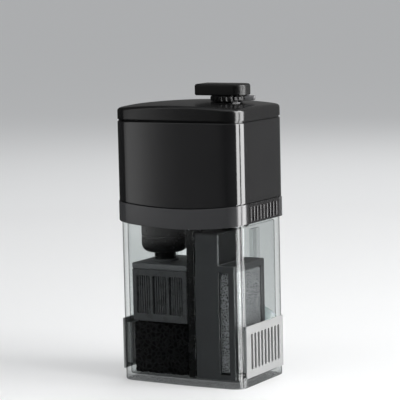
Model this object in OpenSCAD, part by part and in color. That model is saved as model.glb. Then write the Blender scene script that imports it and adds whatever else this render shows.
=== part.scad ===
// Internal power filter: a pump head on a clear media canister, with a swivelling outlet spout.
// Millimetres. Front is -Y, right is +X, +Z is up, and z = 0 is the surface the canister stands on.

/* [Body] */
// Width of the pump head
body_w = 44; // [43.6:0.2:44.4]
// Depth of the pump head, without the suction cups
body_d = 31.4; // [31.2:0.1:31.8]
// Radius of the upright corners
corner_r = 4.5; // [4.2:0.1:4.8]
// Wall of the pump head
head_wall = 1.6; // [1.4:0.1:1.8]
// Height of the seam between the head and its lid
lid_seam_z = 80.8; // [80.6:0.1:81]
// Height of the lid at its centre
lid_top_z = 86.4; // [86.3:0.1:86.4]
// How far the lid falls from its centre to its corners
lid_crown = 1.9; // [1.4:0.1:2.2]

/* [Collar] */
// Lower edge of the collar, at the middle of the front
collar_z = 48.3; // [48.2:0.1:48.5]
// Height of the collar band
collar_h = 6.2; // [6.1:0.1:6.3]
// Radius of the sweep that lifts the collar's edges towards the sides
sweep_r = 140; // [130:1:150]
// Number of grip ribs on each side of the collar
grip_ribs = 9; // [5:1:11]

/* [Canister] */
// Wall of the clear canister
wall = 1.6; // [1.4:0.1:1.7]
// Thickness of the canister's floor
floor_t = 1.8; // [1.6:0.1:2]
// Height of the shoulder that the seal lies on
shoulder_z = 50.3; // [50.2:0.1:50.4]
// Number of slots in each intake grille
grille_slots = 9; // [7:1:9]

/* [Media] */
// Left and right faces of the media, from the centre
media_x = 18.3; // [18:0.1:18.3]
// Front face of the media
media_front = -11.7; // [-11.7:0.1:-11.4]
// Depth of the media
media_d = 20; // [18:0.5:20]
// Height of the coarse foam at the lower left
foam_h = 16.2; // [14:0.1:16.4]
// Height of the cartridge above the coarse foam
cartridge_h = 18.2; // [17:0.1:18.4]

/* [Outlet] */
// Length of the spout
spout_l = 16.6; // [15:0.2:17]
// Width of the spout
spout_w = 8; // [7.6:0.1:8.6]
// Radius of the flow dial
dial_r = 5.4; // [5.2:0.1:5.6]

/* [Suction cups] */
// Radius of a cup's rim
cup_r = 7.5; // [7:0.1:8]
// Height of the upper pair
upper_cup_z = 67.5; // [67:0.5:68.5]
// Height of the lower pair
lower_cup_z = 12; // [11:0.5:14]

/* [Hidden] */
$fn = 96;
eps = 0.01;
bow_r = 300;
fit = 0.2;

// Pump head: head_z is its lower edge at the middle of the front
head_z = collar_z + collar_h;
in_w = body_w - 2 * head_wall;
in_d = body_d - 2 * head_wall;
in_r = corner_r - head_wall;
lid_r = (pow(body_w / 2, 2) + pow(body_d / 2, 2)) / (2 * lid_crown);

// Canister
can_w = body_w - 1.4;
can_d = body_d - 1.4;
can_r = corner_r - 0.7;
spigot_w = in_w - 2 * fit;
spigot_d = in_d - 2 * fit;
spigot_wall = 1.3;
spigot_top = head_z - 0.3;
seal_t = 0.8;
rib_x = [-15.5, -4, 13];

// Collar
collar_w = body_w + 0.4;
collar_d = body_d + 0.4;
collar_r = corner_r + 0.2;
rib_pitch = 2.1;

// Grilles
grille_w = 24;
grille_z = [3, 19];
grille_t = 0.7;
window_w = 21;
window_z = [4.5, 17.5];

// Media
media_back = media_front + media_d;
media_y = [media_front, media_back];
media_z = floor_t + 0.2;
divider_x = [1.3, 3.9];
divider_top = 47.6;
left_x = [-media_x, divider_x[0] - 0.1];
left_mid = (left_x[0] + left_x[1]) / 2;
cartridge_z = media_z + foam_h + 0.2;
cartridge_top = cartridge_z + cartridge_h;
cartridge_lid_t = 1.8;
case_wall = 1.2;
cassette_x = [4.1, 17.8];
cassette_z = [2, 37.2];
cassette_bar = 2.2;
panel_t = 1.2;
cassette_floor = 1.6;
handle_x = [4.1, 12.4];
handle_d = 16.5;
handle_top = 47;
handle_wall = 1.2;

// Pump: the rotor axis, the chamber, and the motor above it
rotor_xy = [-11.4, -2.6];
plate_z = [head_z + 0.1, head_z + 1.7];
chamber_r = 7.3;
chamber_wall = 1;
chamber_z = 44.7;
cover_z = [39.4, 44.1];
cover_fillet = 2.6;
stub_r = 3.3;
stub_bore = 2.6;
stub_z = 35.1;
shaft_r = 1;
shaft_z = [41.3, 73];
bore_r = shaft_r + 0.05;
bush_z = [40.8, 42.3];
bush_r = 1.9;
impeller_r = 5.6;
impeller_z = [42.7, 47.6];
magnet_r = 4.9;
magnet_z = [58.6, 71.4];
well_r = 5.5;
well_wall = 0.8;
well_top = 74.4;
case_x = [-20, 5.4];
case_y = [0.9 - in_d / 2, in_d / 2 - 0.2];
case_z = [plate_z[1], 77.6];
case_t = 1.2;
case_chamfer = 1.8;
cap_t = 1;
core_z = [60.5, 69.5];
core_x = [-1.9, 1.5];
leg_t = 3;
coil_x = [-4.7, 4.1];
coil_y = [rotor_xy[1] - well_r - well_wall, rotor_xy[1] + well_r + well_wall];
coil_z = [57.6, 72.4];
bobbin_t = 0.7;
flange_t = 1;

// Outlet
outlet_xy = [10.2, 0.8];
riser_r = 4.6;
riser_bore = 3.9;
riser_z = [52.4, 86.1];
duct_r = 3.1;
duct_bore = 2.3;
duct_z = 51.2;
gate_r = 3.85;
gate_bore = 3.1;
gate_z = [79.2, 88];
dial_z = [86.5, 88];
knurls = 20;
lever_l = 3;
lever_w = 2.6;
lever_angle = 20;
spout_z = [88.2, 91.7];
spout_skin = 0.7;
tail_r = 2;
stem_r = 3.05;
stem_bore = 2.3;
stem_z = 82;
seal_z = [84, 85];
seal_bore = 2.65;

// Cord gland and screws
gland_xz = [0, 73.2];
gland_r = 3;
gland_y = in_d / 2 - 1.6;
cord_r = 2.3;
screw_xy = [16.2, 9.4];
screw_r = 1.1;
screw_top = 63.7;
post_r = 2.4;
post_top = 67.2;

// Suction cups: they stand off the back on bosses that end in one plane
cup_plane = body_d / 2 + 2;
cup_depth = 5.5;
boss_r = 4.2;
nipple_r = 2.2;
cup_x = 8.3;

// ---------- shared shapes ----------

// Rounded rectangle, as true arcs
module rounded(w, d, r) {
    square([w - 2 * r, d], center = true);
    square([w, d - 2 * r], center = true);
    for (sx = [-1, 1], sy = [-1, 1])
        translate([sx * (w / 2 - r), sy * (d / 2 - r)]) circle(r = r);
}

// The body's outline: a rounded rectangle with a slightly bowed front
module outline(w, d, r) {
    intersection() {
        rounded(w, d, r);
        translate([0, bow_r - body_d / 2]) circle(r = bow_r - (body_d - d) / 2, $fn = 360);
    }
}

module prism(w, d, r, z) {
    translate([0, 0, z[0]]) linear_extrude(z[1] - z[0]) outline(w, d, r);
}

// Box between two corners given as ranges
module span(x, y, z) {
    translate([x[0], y[0], z[0]]) cube([x[1] - x[0], y[1] - y[0], z[1] - z[0]]);
}

// Upright cylinder on a plan position
module post(xy, r, z) {
    translate([xy[0], xy[1], z[0]]) cylinder(r = r, h = z[1] - z[0]);
}

// Cylinder along +Y, from y[0] to y[1]
module pin_y(xz, r, y) {
    translate([xz[0], y[0], xz[1]]) rotate([-90, 0, 0]) cylinder(r = r, h = y[1] - y[0]);
}

// Everything above the sweep that passes z at the middle and rises towards the sides
module above_sweep(z) {
    translate([0, body_d, z + sweep_r]) rotate([90, 0, 0])
        cylinder(r = sweep_r, h = 2 * body_d, $fn = 360);
}

// Round cup, open at the top, with a rounded foot
module round_foot(r, fillet, z) {
    translate([0, 0, z[0] + fillet]) cylinder(r = r, h = z[1] - z[0] - fillet);
    translate([0, 0, z[0]]) cylinder(r = r - fillet, h = fillet + eps);
    translate([0, 0, z[0] + fillet]) rotate_extrude() translate([r - fillet, 0]) circle(r = fillet);
}

// Boss with a pocket that holds a suction cup's nipple
module cup_boss(x, z, y0) {
    pin_y([x, z], boss_r, [y0, cup_plane]);
}

module cup_pocket(x, z) {
    pin_y([x, z], nipple_r + 0.02, [body_d / 2 - 0.7, cup_plane + 1]);
}

// ---------- canister and media ----------

module canister() {
    color([0.86, 0.9, 0.9, 0.35]) {
        difference() {
            union() {
                prism(can_w, can_d, can_r, [0, shoulder_z]);
                prism(spigot_w, spigot_d, in_r - fit, [shoulder_z - eps, spigot_top]);
                for (s = [-1, 1]) cup_boss(s * cup_x, lower_cup_z, can_d / 2 - 1);
            }
            prism(can_w - 2 * wall, can_d - 2 * wall, can_r - wall, [floor_t, shoulder_z - 1.5]);
            prism(spigot_w - 2 * spigot_wall, spigot_d - 2 * spigot_wall, 1.4, [floor_t, spigot_top + 1]);
            for (s = [-1, 1]) cup_pocket(s * cup_x, lower_cup_z);
            // windows for the grilles
            for (s = [-1, 1]) translate([s * can_w / 2, 0, 0])
                span([-4, 4], [-window_w / 2, window_w / 2], window_z);
        }
        // ribs that hold the media forward
        for (x = rib_x)
            span([x - 0.6, x + 0.6], [media_back + 0.2, can_d / 2 - wall + eps], [floor_t - eps, 46]);
    }
}

module intake_grille(side) {
    x_in = can_w / 2 - wall;
    x_out = can_w / 2 + grille_t;
    pitch = (window_w - 1.4) / grille_slots;
    color("lightgray") mirror([side < 0 ? 1 : 0, 0, 0]) difference() {
        union() {
            span([can_w / 2, x_out], [-grille_w / 2, grille_w / 2], grille_z);
            span([x_in, can_w / 2 + eps], [-window_w / 2, window_w / 2], window_z);
        }
        for (i = [0 : grille_slots - 1]) {
            y = (i - (grille_slots - 1) / 2) * pitch;
            span([x_in - 1, x_out + 1], [y - 0.6, y + 0.6], [window_z[0] + 1, window_z[1] - 1]);
        }
    }
}

module intake_grille_left() { intake_grille(-1); }
module intake_grille_right() { intake_grille(1); }

module divider() {
    mid = (divider_x[0] + divider_x[1]) / 2;
    z = [floor_t, divider_top];
    color([0.07, 0.07, 0.07]) {
        span([mid - 0.6, mid + 0.6], [media_front, media_back], z);
        span(divider_x, [media_front, media_front + 1.2], z);
        span(divider_x, [media_back - 1.2, media_back], z);
    }
}

module coarse_foam() {
    color([0.06, 0.06, 0.06]) span(left_x, media_y, [media_z, media_z + foam_h]);
}

module cartridge_case() {
    z = [cartridge_z, cartridge_top - cartridge_lid_t];
    x = left_x;
    y = media_y;
    w = case_wall;
    color([0.27, 0.27, 0.28]) difference() {
        span(x, y, z);
        span([x[0] + w, x[1] - w], [y[0] + w, y[1] - w], [z[0] + w, z[1] + 1]);
        // windows in the front and back
        for (i = [-1, 0, 1]) translate([left_mid + i * 5.8, 0, 0])
            span([-2.4, 2.4], [y[0] - 1, y[1] + 1], [z[0] + 2.4, z[1] - 2]);
        // slots in the floor
        for (i = [-3 : 3]) translate([left_mid + i * 2.4, 0, 0])
            span([-0.6, 0.6], [y[0] + 3, y[1] - 3], [z[0] - 1, z[0] + w + 1]);
    }
}

module cartridge_lid() {
    z = [cartridge_top - cartridge_lid_t, cartridge_top];
    color([0.42, 0.42, 0.43]) difference() {
        union() {
            span(left_x, media_y, z);
            post(rotor_xy, stub_r + 1, [z[1] - eps, z[1] + 0.7]);
        }
        post(rotor_xy, stub_r + 0.15, [z[0] - 1, z[1] + 3]);
    }
}

module carbon_fill() {
    w = case_wall;
    z = [cartridge_z + w, cartridge_top - cartridge_lid_t - 0.4];
    color([0.1, 0.1, 0.1]) span([left_x[0] + w, left_x[1] - w], [media_y[0] + w, media_y[1] - w], z);
}

// Open frame round the fine foam, with a box-shaped finger grip on its top
module cassette_frame() {
    x = cassette_x;
    y = media_y;
    z = cassette_z;
    bar = cassette_bar;
    w = handle_wall;
    grip_y = [y[0], y[0] + handle_d];
    color([0.24, 0.24, 0.25]) {
        span(x, y, [z[0], z[0] + cassette_floor]);
        span(x, y, [z[1] - bar, z[1]]);
        for (px = [x[0], x[1] - bar], py = [y[0], y[1] - bar])
            span([px, px + bar], [py, py + bar], [z[0] + cassette_floor - eps, z[1] - bar + eps]);
        // solid front below the grip; the foam shows beside it
        span([x[0], handle_x[1]], [y[0], y[0] + panel_t], z);
        difference() {
            span(handle_x, grip_y, [z[1] - eps, handle_top]);
            translate([0, 0, z[1]])
                span([handle_x[0] + w, handle_x[1] - w], [grip_y[0] + w, grip_y[1] - w], [0, handle_top]);
        }
    }
}

module fine_foam() {
    gap = 0.05;
    bar = cassette_bar;
    x = cassette_x;
    y = media_y;
    z = [cassette_z[0] + cassette_floor, cassette_z[1] - bar];
    color([0.2, 0.2, 0.21]) difference() {
        span([x[0] + 0.4, x[1] - 0.4], [y[0] + panel_t + gap, y[1] - 0.4], z);
        for (px = [x[0], x[1] - bar], py = [y[0], y[1] - bar])
            span([px - gap, px + bar + gap], [py - gap, py + bar + gap], [z[0] - 1, z[1] + 1]);
    }
}

module seal_ring() {
    color([0.05, 0.05, 0.05]) difference() {
        prism(can_w - 0.2, can_d - 0.2, can_r - 0.1, [shoulder_z, shoulder_z + seal_t]);
        prism(spigot_w + 0.04, spigot_d + 0.04, in_r - fit + 0.02, [shoulder_z - 1, shoulder_z + 2]);
    }
}

// ---------- pump head ----------

module head_shell() {
    color([0.16, 0.16, 0.17]) difference() {
        union() {
            intersection() {
                difference() {
                    prism(body_w, body_d, corner_r, [collar_z, lid_seam_z]);
                    prism(in_w, in_d, in_r, [collar_z - 1, lid_seam_z + 1]);
                }
                above_sweep(collar_z + collar_h);
            }
            for (s = [-1, 1]) cup_boss(s * cup_x, upper_cup_z, body_d / 2 - 1);
            // screw bosses, each tied to the right wall by a rib
            for (s = [-1, 1]) {
                post([screw_xy[0], s * screw_xy[1]], post_r, [plate_z[1], post_top]);
                translate([0, s * screw_xy[1], 0])
                    span([screw_xy[0], in_w / 2 + 0.5], [-0.6, 0.6], [plate_z[1] + 1.5, post_top]);
            }
        }
        for (s = [-1, 1])
            post([screw_xy[0], s * screw_xy[1]], screw_r, [plate_z[1] - 1, screw_top + 0.5]);
        for (s = [-1, 1]) cup_pocket(s * cup_x, upper_cup_z);
        pin_y(gland_xz, gland_r, [gland_y - 2, body_d]);
    }
}

module head_lid() {
    rim_wall = 1.2;
    color([0.1, 0.1, 0.1]) difference() {
        union() {
            intersection() {
                prism(body_w, body_d, corner_r, [lid_seam_z + 0.5, lid_top_z + 1]);
                translate([0, 0, lid_top_z - lid_r]) sphere(r = lid_r, $fn = 200);
            }
            prism(body_w - 0.8, body_d - 0.8, corner_r - 0.4, [lid_seam_z, lid_seam_z + 0.5 + eps]);
            difference() {
                prism(in_w - 0.1, in_d - 0.1, in_r - 0.05, [lid_seam_z - 1.6, lid_seam_z + eps]);
                prism(in_w - 2 * rim_wall, in_d - 2 * rim_wall, 1.6, [lid_seam_z - 3, lid_seam_z + 2]);
            }
        }
        post(outlet_xy, riser_r, [lid_seam_z - 3, lid_top_z + 2]);
        prism(in_w - 2 * rim_wall, in_d - 2 * rim_wall, 1.6, [lid_seam_z - 1, lid_seam_z + 1.5]);
    }
}

module collar() {
    step_z = shoulder_z + seal_t;
    color([0.23, 0.23, 0.24]) {
        difference() {
            intersection() {
                prism(collar_w, collar_d, collar_r, [collar_z - 1, collar_z + collar_h + 4]);
                above_sweep(collar_z);
            }
            above_sweep(collar_z + collar_h);
            prism(in_w, in_d, in_r, [collar_z - 2, collar_z + collar_h + 5]);
            prism(can_w + 0.1, can_d + 0.1, can_r + 0.05, [collar_z - 2, step_z]);
        }
        // grip ribs on both sides
        for (s = [-1, 1], i = [0 : grip_ribs - 1]) {
            y = (i - (grip_ribs - 1) / 2) * rib_pitch;
            post([s * (collar_w / 2 - 0.05), y], 0.5, [step_z - 0.4, step_z + 4.2]);
        }
    }
}

// Base plate of the pump with the chamber, the duct and the riser's socket below it
module chamber_body() {
    color([0.13, 0.13, 0.14]) difference() {
        union() {
            prism(in_w - 0.2, in_d - 0.2, in_r - 0.1, plate_z);
            post(rotor_xy, chamber_r, [chamber_z, plate_z[0] + eps]);
            post(outlet_xy, riser_r + 1, [duct_z - duct_r - 0.2, plate_z[0] + eps]);
            translate([rotor_xy[0], outlet_xy[1], duct_z]) rotate([0, 90, 0])
                cylinder(r = duct_r, h = outlet_xy[0] - rotor_xy[0]);
        }
        post(rotor_xy, chamber_r - chamber_wall, [chamber_z - 1, plate_z[0]]);
        post(rotor_xy, well_r, [chamber_z, plate_z[1] + 1]);
        post(outlet_xy, riser_bore, [duct_z - duct_bore - 0.1, plate_z[1] + 1]);
        post(outlet_xy, riser_r, [riser_z[0], plate_z[1] + 1]);
        translate([rotor_xy[0] + 4, outlet_xy[1], duct_z]) rotate([0, 90, 0])
            cylinder(r = duct_bore, h = outlet_xy[0] - rotor_xy[0] - 4);
        for (s = [-1, 1])
            post([screw_xy[0], s * screw_xy[1]], screw_r + 0.2, [plate_z[0] - 1, plate_z[1] + 1]);
    }
}

// Bowl under the chamber, with the inlet stub and a three-armed holder for the lower bush
module chamber_cover() {
    color([0.12, 0.12, 0.13]) translate([rotor_xy[0], rotor_xy[1], 0]) {
        difference() {
            union() {
                round_foot(chamber_r, cover_fillet, cover_z);
                translate([0, 0, stub_z]) cylinder(r = stub_r, h = cover_z[0] - stub_z + 0.5);
            }
            translate([0, 0, chamber_wall])
                round_foot(chamber_r - chamber_wall, cover_fillet - chamber_wall, cover_z);
            translate([0, 0, stub_z - 1]) cylinder(r = stub_bore, h = cover_z[0] - stub_z + 3);
        }
        translate([0, 0, bush_z[0] - 1]) cylinder(r = bush_r, h = 1);
        for (a = [0, 120, 240]) rotate(a)
            span([0, stub_bore + 0.4], [-0.4, 0.4], [bush_z[0] - 1, bush_z[0] - 0.1]);
    }
}

module chamber_seal() {
    color([0.05, 0.05, 0.05]) difference() {
        post(rotor_xy, chamber_r - 0.1, [cover_z[1], chamber_z]);
        post(rotor_xy, chamber_r - chamber_wall + 0.1, [cover_z[1] - 1, chamber_z + 1]);
    }
}

// Sealed box of the motor, open at the top, with the rotor's well rising from its floor
module motor_case() {
    t = case_t;
    x = case_x;
    y = case_y;
    color([0.18, 0.18, 0.19]) difference() {
        union() {
            difference() {
                span(x, y, case_z);
                span([x[0] + t, x[1] - t], [y[0] + t, y[1] - t], [case_z[0] + t, case_z[1] + 1]);
            }
            post(rotor_xy, well_r + well_wall, [case_z[0] + eps, well_top]);
        }
        post(rotor_xy, well_r, [case_z[0] - 1, well_top - 1]);
        pin_y(gland_xz, gland_r, [gland_y - 2, body_d]);
        case_chamfers();
    }
}

// Wedges off the two left edges, where the box clears the round corners of the head
module case_chamfers() {
    for (y = case_y) translate([case_x[0], y, case_z[0] - 1])
        cylinder(r = case_chamfer, h = case_z[1] - case_z[0] + 4, $fn = 4);
}

module motor_cap() {
    color([0.2, 0.2, 0.21]) difference() {
        span(case_x, case_y, [case_z[1], case_z[1] + cap_t]);
        case_chamfers();
    }
}

// U-shaped stack: two legs with curved poles at the rotor's well, and a back iron that the coil is on
module stator_core() {
    front = rotor_xy[1] - well_r - well_wall - leg_t - 0.1;
    back = rotor_xy[1] + well_r + well_wall + leg_t + 0.1;
    color([0.45, 0.46, 0.48]) difference() {
        union() {
            span([rotor_xy[0] - 5, core_x[1]], [front, front + leg_t], core_z);
            span([rotor_xy[0] - 5, core_x[1]], [back - leg_t, back], core_z);
            span([rotor_xy[0] - 5, rotor_xy[0] + 5], [front, back], core_z);
            span(core_x, [front, back], core_z);
        }
        post(rotor_xy, well_r + well_wall + 0.1, [core_z[0] - 1, core_z[1] + 1]);
        // gap between the two poles
        translate([rotor_xy[0], rotor_xy[1], 0])
            span([-6, 6], [-2.5, 2.5], [core_z[0] - 1, core_z[1] + 1]);
    }
}

// The core's cross-section, grown by an offset, from y[0] to y[1]
module core_bar(grow, y) {
    span([core_x[0] - grow, core_x[1] + grow], y, [core_z[0] - grow, core_z[1] + grow]);
}

module coil_bobbin() {
    y = coil_y;
    color([0.85, 0.83, 0.75]) difference() {
        union() {
            core_bar(bobbin_t, y);
            for (end = [y[0], y[1] - flange_t]) span(coil_x, [end, end + flange_t], coil_z);
        }
        core_bar(0.03, [y[0] - 1, y[1] + 1]);
    }
}

module coil_winding() {
    y = [coil_y[0] + flange_t, coil_y[1] - flange_t];
    color([0.72, 0.38, 0.18]) difference() {
        span([coil_x[0] + 0.3, coil_x[1] - 0.3], y, [coil_z[0] + 0.3, coil_z[1] - 0.3]);
        core_bar(bobbin_t, [y[0] - 1, y[1] + 1]);
    }
}

// Two wires from the coil to the cord gland
module lead_wires() {
    r = 0.5;
    y0 = coil_y[1] - r;
    bend_z = gland_xz[1] + 0.4;
    color([0.15, 0.25, 0.6]) for (x = [-1.2, 1.2]) {
        post([x, y0], r, [coil_z[1], bend_z]);
        translate([x, y0, bend_z]) sphere(r = r, $fn = 32);
        pin_y([x, bend_z], r, [y0, gland_y - 0.2]);
    }
}

module upper_bush() {
    color([0.1, 0.1, 0.1]) difference() {
        post(rotor_xy, 2.6, [well_top - 2.5, well_top - 1]);
        post(rotor_xy, shaft_r, [magnet_z[1], shaft_z[1]]);
    }
}

module lower_bush() {
    color([0.1, 0.1, 0.1]) difference() {
        post(rotor_xy, bush_r, bush_z);
        post(rotor_xy, shaft_r, [shaft_z[0], bush_z[1] + 1]);
    }
}

module impeller_shaft() {
    color([0.92, 0.9, 0.85]) post(rotor_xy, shaft_r, shaft_z);
}

module riser_tube() {
    color([0.14, 0.14, 0.15]) difference() {
        post(outlet_xy, riser_r - 0.02, riser_z);
        post(outlet_xy, riser_bore, [riser_z[0] - 1, riser_z[1] + 1]);
    }
}

// Grommet in the back wall that the mains cord passes through
module cord_grommet() {
    color([0.06, 0.06, 0.06]) difference() {
        union() {
            pin_y(gland_xz, gland_r - 0.02, [gland_y, body_d / 2 + eps]);
            pin_y(gland_xz, gland_r + 1.4, [body_d / 2, body_d / 2 + 1.4]);
        }
        pin_y(gland_xz, cord_r, [gland_y - 2, body_d]);
    }
}

module plate_screws() {
    head_r = 2;
    head_t = 1.5;
    color("silver") for (s = [-1, 1]) translate([screw_xy[0], s * screw_xy[1], plate_z[0]]) {
        translate([0, 0, -0.1]) cylinder(r = screw_r - 0.02, h = screw_top - plate_z[0]);
        difference() {
            translate([0, 0, -head_t]) cylinder(r = head_r, h = head_t);
            // cross recess
            for (arm = [[2 * head_r, 0.5, 0.8], [0.5, 2 * head_r, 0.8]])
                translate([0, 0, 0.2 - head_t]) cube(arm, center = true);
        }
    }
}

// ---------- suction cups ----------

// Thin bell between two spheres, on a nipple that fills the boss's pocket
module suction_cup(x, z) {
    outer_c = 9.06;
    outer_r = 9.68;
    inner_c = 14.5;
    inner_r = 12.3;
    rim = cup_r / 9;
    color([0.78, 0.83, 0.84, 0.7]) translate([x, cup_plane, z]) rotate([-90, 0, 0]) {
        translate([0, 0, 0.02 - (cup_plane - body_d / 2 + 0.7)]) cylinder(r = nipple_r, h = 4);
        scale(rim) difference() {
            intersection() {
                translate([0, 0, outer_c]) sphere(r = outer_r);
                cylinder(r = 12, h = cup_depth);
            }
            translate([0, 0, inner_c]) sphere(r = inner_r);
        }
    }
}

module lower_cup_left() { suction_cup(-cup_x, lower_cup_z); }
module lower_cup_right() { suction_cup(cup_x, lower_cup_z); }
module upper_cup_left() { suction_cup(-cup_x, upper_cup_z); }
module upper_cup_right() { suction_cup(cup_x, upper_cup_z); }

// ---------- rotor ----------

module rotor_magnet() {
    color([0.2, 0.2, 0.22]) difference() {
        post(rotor_xy, magnet_r, magnet_z);
        post(rotor_xy, bore_r, [magnet_z[0] - 1, magnet_z[1] + 1]);
    }
}

module impeller() {
    blades = 6;
    stem_hub_r = 2.2;
    color([0.88, 0.88, 0.86]) difference() {
        union() {
            post(rotor_xy, stem_hub_r, [bush_z[1] + 0.2, magnet_z[0]]);
            post(rotor_xy, impeller_r, [impeller_z[1] - 0.9, impeller_z[1]]);
            translate([rotor_xy[0], rotor_xy[1], impeller_z[0]]) for (i = [0 : blades - 1])
                rotate(i * 360 / blades)
                    span([1.5, impeller_r - 0.2], [-0.4, 0.4], [0, impeller_z[1] - impeller_z[0] - 0.5]);
        }
        post(rotor_xy, bore_r, [bush_z[0], magnet_z[1]]);
    }
}

// ---------- outlet ----------

// Knurled ring with a small lever
module flow_dial() {
    h = dial_z[1] - dial_z[0];
    color([0.08, 0.08, 0.08]) translate([outlet_xy[0], outlet_xy[1], dial_z[0]]) difference() {
        union() {
            cylinder(r = dial_r - 0.25, h = h);
            for (i = [0 : knurls - 1]) rotate(i * 360 / knurls)
                translate([dial_r - 0.45, 0, 0.1]) cylinder(r = 0.45, h = h - 0.2, $fn = 24);
            rotate(lever_angle) span([dial_r - 1, dial_r + lever_l], [-lever_w / 2, lever_w / 2], [0, h]);
        }
        translate([0, 0, -1]) cylinder(r = gate_r + 0.5, h = h + 2);
    }
}

// Shutter sleeve in the riser, turned by the dial
module flow_gate() {
    color([0.75, 0.75, 0.73]) difference() {
        union() {
            post(outlet_xy, gate_r, gate_z);
            post(outlet_xy, gate_r + 0.5, [dial_z[0], gate_z[1]]);
        }
        post(outlet_xy, gate_bore, [gate_z[0] + 1, gate_z[1] + 1]);
        // half-moon opening in the shutter's floor
        intersection() {
            post(outlet_xy, gate_bore, [gate_z[0] - 1, gate_z[0] + 2]);
            translate([outlet_xy[0] - 5, outlet_xy[1] - 5, gate_z[0] - 1]) cube([5, 10, 3]);
        }
    }
}

// Flat hollow spout: round at the swivel, open at the far left end
module spout() {
    tip_x = outlet_xy[0] + spout_w / 2 + 2.9 - spout_l;
    tail_x = tip_x + spout_l;
    y = [outlet_xy[1] - spout_w / 2, outlet_xy[1] + spout_w / 2];
    r = tail_r;
    skin = spout_skin;
    color([0.05, 0.05, 0.05]) difference() {
        union() {
            span([tip_x, tail_x - r], y, spout_z);
            span([tail_x - r - eps, tail_x], [y[0] + r, y[1] - r], spout_z);
            for (yy = [y[0] + r, y[1] - r]) post([tail_x - r, yy], r, spout_z);
            post(outlet_xy, stem_r, [stem_z, spout_z[0] + eps]);
        }
        span([tip_x - 1, outlet_xy[0]], [y[0] + 1, y[1] - 1], [spout_z[0] + skin, spout_z[1] - skin]);
        post(outlet_xy, stem_bore, [stem_z - 1, spout_z[1] - skin]);
        seal_groove(stem_r + 1);
    }
}

// Ring of the seal in the spout's stem, out to a radius
module seal_groove(r) {
    difference() {
        post(outlet_xy, r, seal_z);
        post(outlet_xy, seal_bore, [seal_z[0] - 1, seal_z[1] + 1]);
    }
}

module spout_seal() {
    color([0.05, 0.05, 0.05]) seal_groove(stem_r + 0.03);
}

canister();
intake_grille_left();
intake_grille_right();
divider();
coarse_foam();
cartridge_case();
cartridge_lid();
carbon_fill();
cassette_frame();
fine_foam();
seal_ring();
lower_cup_left();
lower_cup_right();
head_shell();
head_lid();
collar();
chamber_body();
chamber_cover();
chamber_seal();
motor_case();
motor_cap();
stator_core();
coil_bobbin();
coil_winding();
lead_wires();
upper_bush();
lower_bush();
impeller_shaft();
riser_tube();
cord_grommet();
plate_screws();
upper_cup_left();
upper_cup_right();
rotor_magnet();
impeller();
flow_dial();
flow_gate();
spout();
spout_seal();
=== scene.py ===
"""Looks of the internal power filter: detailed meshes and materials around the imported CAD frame.

Lengths are in millimetres until add_piece() turns them into metres. Front is -Y, right is +X.
"""
import math

import bmesh
import bpy
from mathutils import Matrix, Vector, noise


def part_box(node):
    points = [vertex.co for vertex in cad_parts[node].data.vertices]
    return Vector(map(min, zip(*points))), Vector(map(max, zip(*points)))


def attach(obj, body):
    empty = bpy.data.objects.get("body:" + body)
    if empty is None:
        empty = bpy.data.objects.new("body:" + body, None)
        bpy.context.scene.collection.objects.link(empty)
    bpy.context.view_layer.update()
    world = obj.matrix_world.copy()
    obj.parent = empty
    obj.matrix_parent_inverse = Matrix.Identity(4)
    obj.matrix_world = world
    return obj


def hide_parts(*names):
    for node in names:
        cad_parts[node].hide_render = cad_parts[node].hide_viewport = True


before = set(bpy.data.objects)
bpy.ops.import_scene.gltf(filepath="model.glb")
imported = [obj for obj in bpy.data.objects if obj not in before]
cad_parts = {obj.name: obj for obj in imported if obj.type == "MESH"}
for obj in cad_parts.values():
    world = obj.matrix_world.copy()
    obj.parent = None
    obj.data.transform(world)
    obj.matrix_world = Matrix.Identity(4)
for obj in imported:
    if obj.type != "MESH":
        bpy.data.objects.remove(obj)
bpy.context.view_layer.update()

MM = 0.001


def box_mm(node):
    low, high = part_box(node)
    return Vector(low) / MM, Vector(high) / MM


# ---------- sizes, from the frame ----------

LID_LO, LID_HI = box_mm("head_lid")
CAN_LO, CAN_HI = box_mm("canister")
CARTRIDGE_LO, CARTRIDGE_HI = box_mm("cartridge_case")
LID_PLATE_LO, LID_PLATE_HI = box_mm("cartridge_lid")
CASSETTE_LO, CASSETTE_HI = box_mm("cassette_frame")
FOAM_LO, FOAM_HI = box_mm("coarse_foam")
FINE_LO, FINE_HI = box_mm("fine_foam")
DIVIDER_LO, DIVIDER_HI = box_mm("divider")
COVER_LO, COVER_HI = box_mm("chamber_cover")
SPOUT_LO, SPOUT_HI = box_mm("spout")
DIAL_LO, DIAL_HI = box_mm("flow_dial")
GROMMET_LO, GROMMET_HI = box_mm("cord_grommet")
SEAL_LO = box_mm("seal_ring")[0]
UPPER_CUP_LO, UPPER_CUP_HI = box_mm("upper_cup_right")
LOWER_CUP_LO, LOWER_CUP_HI = box_mm("lower_cup_right")
PLATE_LO = box_mm("motor_case")[0]

BODY_W = LID_HI.x - LID_LO.x
BODY_D = LID_HI.y - LID_LO.y
CORNER_R = 4.5
HEAD_WALL = 1.6
BOW_R = 300  # radius of the front's bow, seen from above
SWEEP_R = 140  # radius of the collar's swept edges, seen from the front
LID_SEAM = LID_LO.z + 1.6
LID_CROWN = 1.9
LID_SPHERE = (BODY_W ** 2 + BODY_D ** 2) / (8 * LID_CROWN)
COLLAR_Z = 48.3
COLLAR_H = 6.2
CAN_W = CAN_HI.x - CAN_LO.x
CAN_D = BODY_D - 1.4
CAN_WALL = 1.6
CAN_FLOOR = 1.8
SHOULDER_Z = SEAL_LO.z
SPIGOT_STEP = 1.1
SPIGOT_WALL = 1.3
ROTOR = ((COVER_LO.x + COVER_HI.x) / 2, (COVER_LO.y + COVER_HI.y) / 2)
OUTLET = (10.2, (SPOUT_LO.y + SPOUT_HI.y) / 2)
BOSS_R = 4.2
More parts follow.
